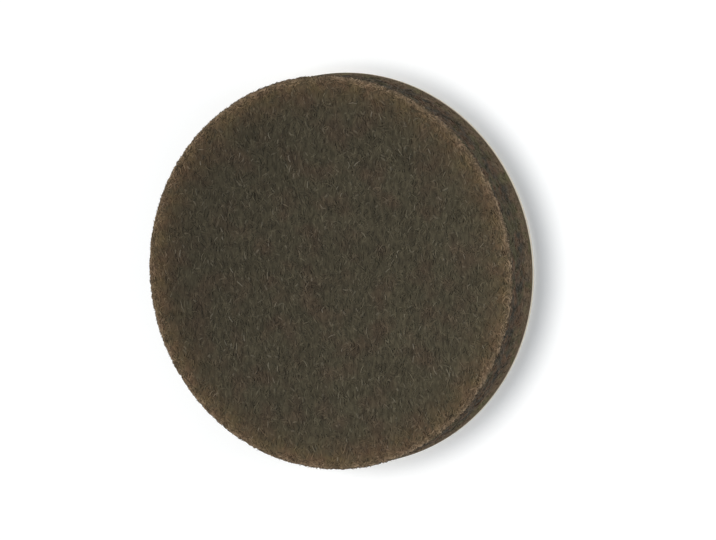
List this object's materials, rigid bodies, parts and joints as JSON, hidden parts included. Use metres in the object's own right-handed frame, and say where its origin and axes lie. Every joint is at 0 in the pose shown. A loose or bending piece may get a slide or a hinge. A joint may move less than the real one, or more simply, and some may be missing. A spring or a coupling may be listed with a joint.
{
  "type": "felt furniture pad",
  "caption": "Round brown felt pad with a self-adhesive back on a peel-off paper liner, stuck under a furniture leg to protect the floor.",
  "frame": {"origin": "centre of the release liner's underside, where the pad lies on a table", "axes": "+Z along the pad's axis, from the liner up to the felt face; X and Y lie in the pad's plane"},
  "size_m": [0.035, 0.035, 0.0054],
  "materials": {
    "felt": "matte",
    "adhesive": "gloss",
    "film": "gloss",
    "liner_paper": "satin"
  },
  "bodies": {
    "liner": {"release_liner": "liner_paper"},
    "pad": {"furniture_side_adhesive": "adhesive", "carrier_film": "film", "felt_side_adhesive": "adhesive", "felt_disc": "felt"}
  },
  "joints": [
    {"name": "liner_peel", "type": "slide", "parent": "liner", "child": "pad", "axis": [0, 0, 1], "range_m": [0, 0.02]}
  ]
}
